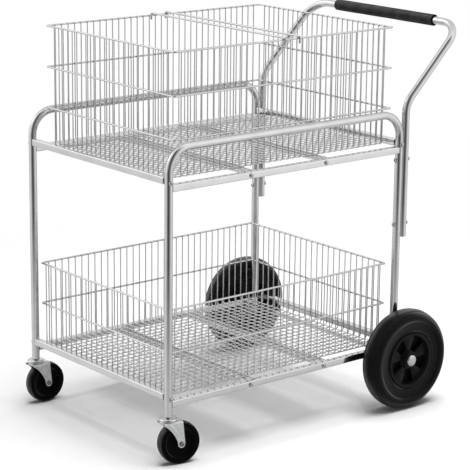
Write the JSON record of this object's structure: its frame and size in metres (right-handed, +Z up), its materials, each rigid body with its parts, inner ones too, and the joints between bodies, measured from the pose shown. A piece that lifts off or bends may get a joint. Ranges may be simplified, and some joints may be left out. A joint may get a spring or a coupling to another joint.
{
  "type": "mobile file cart",
  "caption": "Chrome tube-frame file cart with upper and lower wire baskets, sliding file rails, swivel front casters, large rear wheels and a bent push handle with a foam grip.",
  "frame": {"origin": "on the floor, under the middle of the cart's overall box", "axes": "+X from the caster end to the handle end, +Y from the near side to the far side, +Z up"},
  "size_m": [0.9286, 0.6742, 0.9372],
  "materials": {
    "tube_chrome": "bright plated tube, rails, straps and caps",
    "wire_chrome": "bright plated wire",
    "fork_zinc": "zinc plated pressing",
    "fastener_zinc": "zinc plated bolts, washers and axle",
    "grip_foam": "matt closed-cell foam sleeve",
    "caster_rubber": "satin black hard rubber tread",
    "caster_black": "moulded black hub",
    "tyre_rubber": "black rubber tyre",
    "rim_plastic": "moulded black spoked rim"
  },
  "bodies": {
    "frame": {"side_frame_near": "tube_chrome", "side_frame_far": "tube_chrome", "handle_tube": "tube_chrome", "handle_grip": "grip_foam", "handle_bolt_near_lower": "fastener_zinc", "handle_bolt_near_upper": "fastener_zinc", "handle_bolt_far_lower": "fastener_zinc", "handle_bolt_far_upper": "fastener_zinc", "upper_side_rail_near": "tube_chrome", "upper_side_rail_far": "tube_chrome", "upper_end_rail_front": "tube_chrome", "upper_end_rail_rear": "tube_chrome", "upper_strap_front": "tube_chrome", "upper_strap_rear": "tube_chrome", "lower_side_rail_near": "tube_chrome", "lower_side_rail_far": "tube_chrome", "lower_end_rail_front": "tube_chrome", "lower_end_rail_rear": "tube_chrome", "lower_strap_front": "tube_chrome", "lower_strap_rear": "tube_chrome", "upper_basket_rim": "wire_chrome", "upper_basket_ring_1": "wire_chrome", "upper_basket_ring_2": "wire_chrome", "lower_basket_rim": "wire_chrome", "lower_basket_ring_1": "wire_chrome", "upper_basket_wall_near": "wire_chrome", "upper_basket_wall_far": "wire_chrome", "upper_basket_wall_front": "wire_chrome", "upper_basket_wall_rear": "wire_chrome", "upper_basket_floor_cross_wires": "wire_chrome", "upper_basket_floor_long_wires": "wire_chrome", "lower_basket_wall_near": "wire_chrome", "lower_basket_wall_far": "wire_chrome", "lower_basket_wall_front": "wire_chrome", "lower_basket_wall_rear": "wire_chrome", "lower_basket_floor_cross_wires": "wire_chrome", "lower_basket_floor_long_wires": "wire_chrome", "caster_stem_near": "tube_chrome", "caster_stem_far": "tube_chrome", "hub_cap_near": "tube_chrome", "hub_cap_far": "tube_chrome", "wheel_washer_near": "fastener_zinc", "wheel_washer_far": "fastener_zinc", "rear_axle": "fastener_zinc"},
    "caster_swivel_near": {"caster_fork_near": "fork_zinc", "caster_axle_near": "fastener_zinc"},
    "caster_wheel_near": {"caster_hub_near": "caster_black", "caster_tyre_near": "caster_rubber"},
    "rear_wheel_near": {"rear_tyre_near": "tyre_rubber", "rear_rim_near": "rim_plastic"},
    "caster_swivel_far": {"caster_fork_far": "fork_zinc", "caster_axle_far": "fastener_zinc"},
    "caster_wheel_far": {"caster_hub_far": "caster_black", "caster_tyre_far": "caster_rubber"},
    "rear_wheel_far": {"rear_tyre_far": "tyre_rubber", "rear_rim_far": "rim_plastic"},
    "file_rail_front": {"file_rail_front": "wire_chrome"},
    "file_rail_rear": {"file_rail_rear": "wire_chrome"}
  },
  "joints": [
    {"name": "caster_swivel_near", "type": "hinge", "parent": "frame", "child": "caster_swivel_near", "pos_m": [-0.43926, -0.265, 0.107], "axis": [0, 0, 1], "continuous": true},
    {"name": "caster_roll_near", "type": "hinge", "parent": "caster_swivel_near", "child": "caster_wheel_near", "pos_m": [-0.41373, -0.26996, 0.05], "axis": [0.1908, 0.9816, 0], "continuous": true},
    {"name": "rear_roll_near", "type": "hinge", "parent": "frame", "child": "rear_wheel_near", "pos_m": [0.25574, -0.306, 0.124], "axis": [0, 1, 0], "continuous": true},
    {"name": "caster_swivel_far", "type": "hinge", "parent": "frame", "child": "caster_swivel_far", "pos_m": [-0.43926, 0.265, 0.107], "axis": [0, 0, 1], "continuous": true},
    {"name": "caster_roll_far", "type": "hinge", "parent": "caster_swivel_far", "child": "caster_wheel_far", "pos_m": [-0.41326, 0.26545, 0.05], "axis": [-0.0175, 0.9998, 0], "continuous": true},
    {"name": "rear_roll_far", "type": "hinge", "parent": "frame", "child": "rear_wheel_far", "pos_m": [0.25574, 0.306, 0.124], "axis": [0, 1, 0], "continuous": true},
    {"name": "file_rail_slide_front", "type": "slide", "parent": "frame", "child": "file_rail_front", "axis": [1, 0, 0], "range_m": [-0.28, 0.018]},
    {"name": "file_rail_slide_rear", "type": "slide", "parent": "frame", "child": "file_rail_rear", "axis": [1, 0, 0], "range_m": [-0.018, 0.26]}
  ]
}
